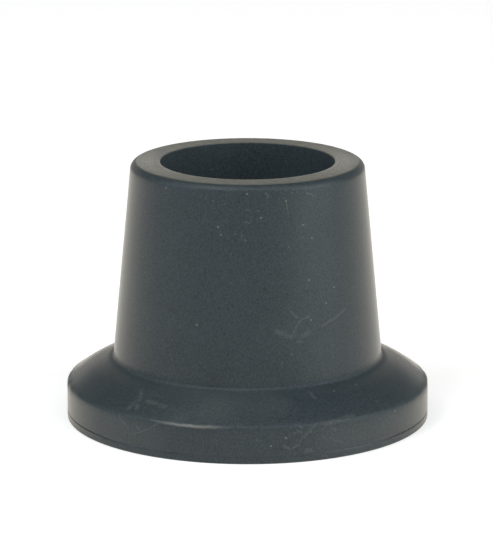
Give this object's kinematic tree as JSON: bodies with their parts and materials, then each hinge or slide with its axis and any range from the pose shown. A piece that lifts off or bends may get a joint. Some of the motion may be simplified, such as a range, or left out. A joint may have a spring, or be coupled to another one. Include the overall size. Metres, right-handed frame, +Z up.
{
  "type": "shower chair leg tip",
  "caption": "Moulded rubber leg tip: a tapered socket that presses over the end of a tube, on a wide round flange that stands flat on the floor.",
  "frame": {"origin": "middle of the sole, on the floor", "axes": "+Z up the socket's axis and out of its mouth; X and Y are alike"},
  "size_m": [0.06, 0.06, 0.043],
  "materials": {
    "rubber": "matte, as moulded"
  },
  "bodies": {
    "root": {"leg_tip": "rubber"}
  },
  "joints": []
}
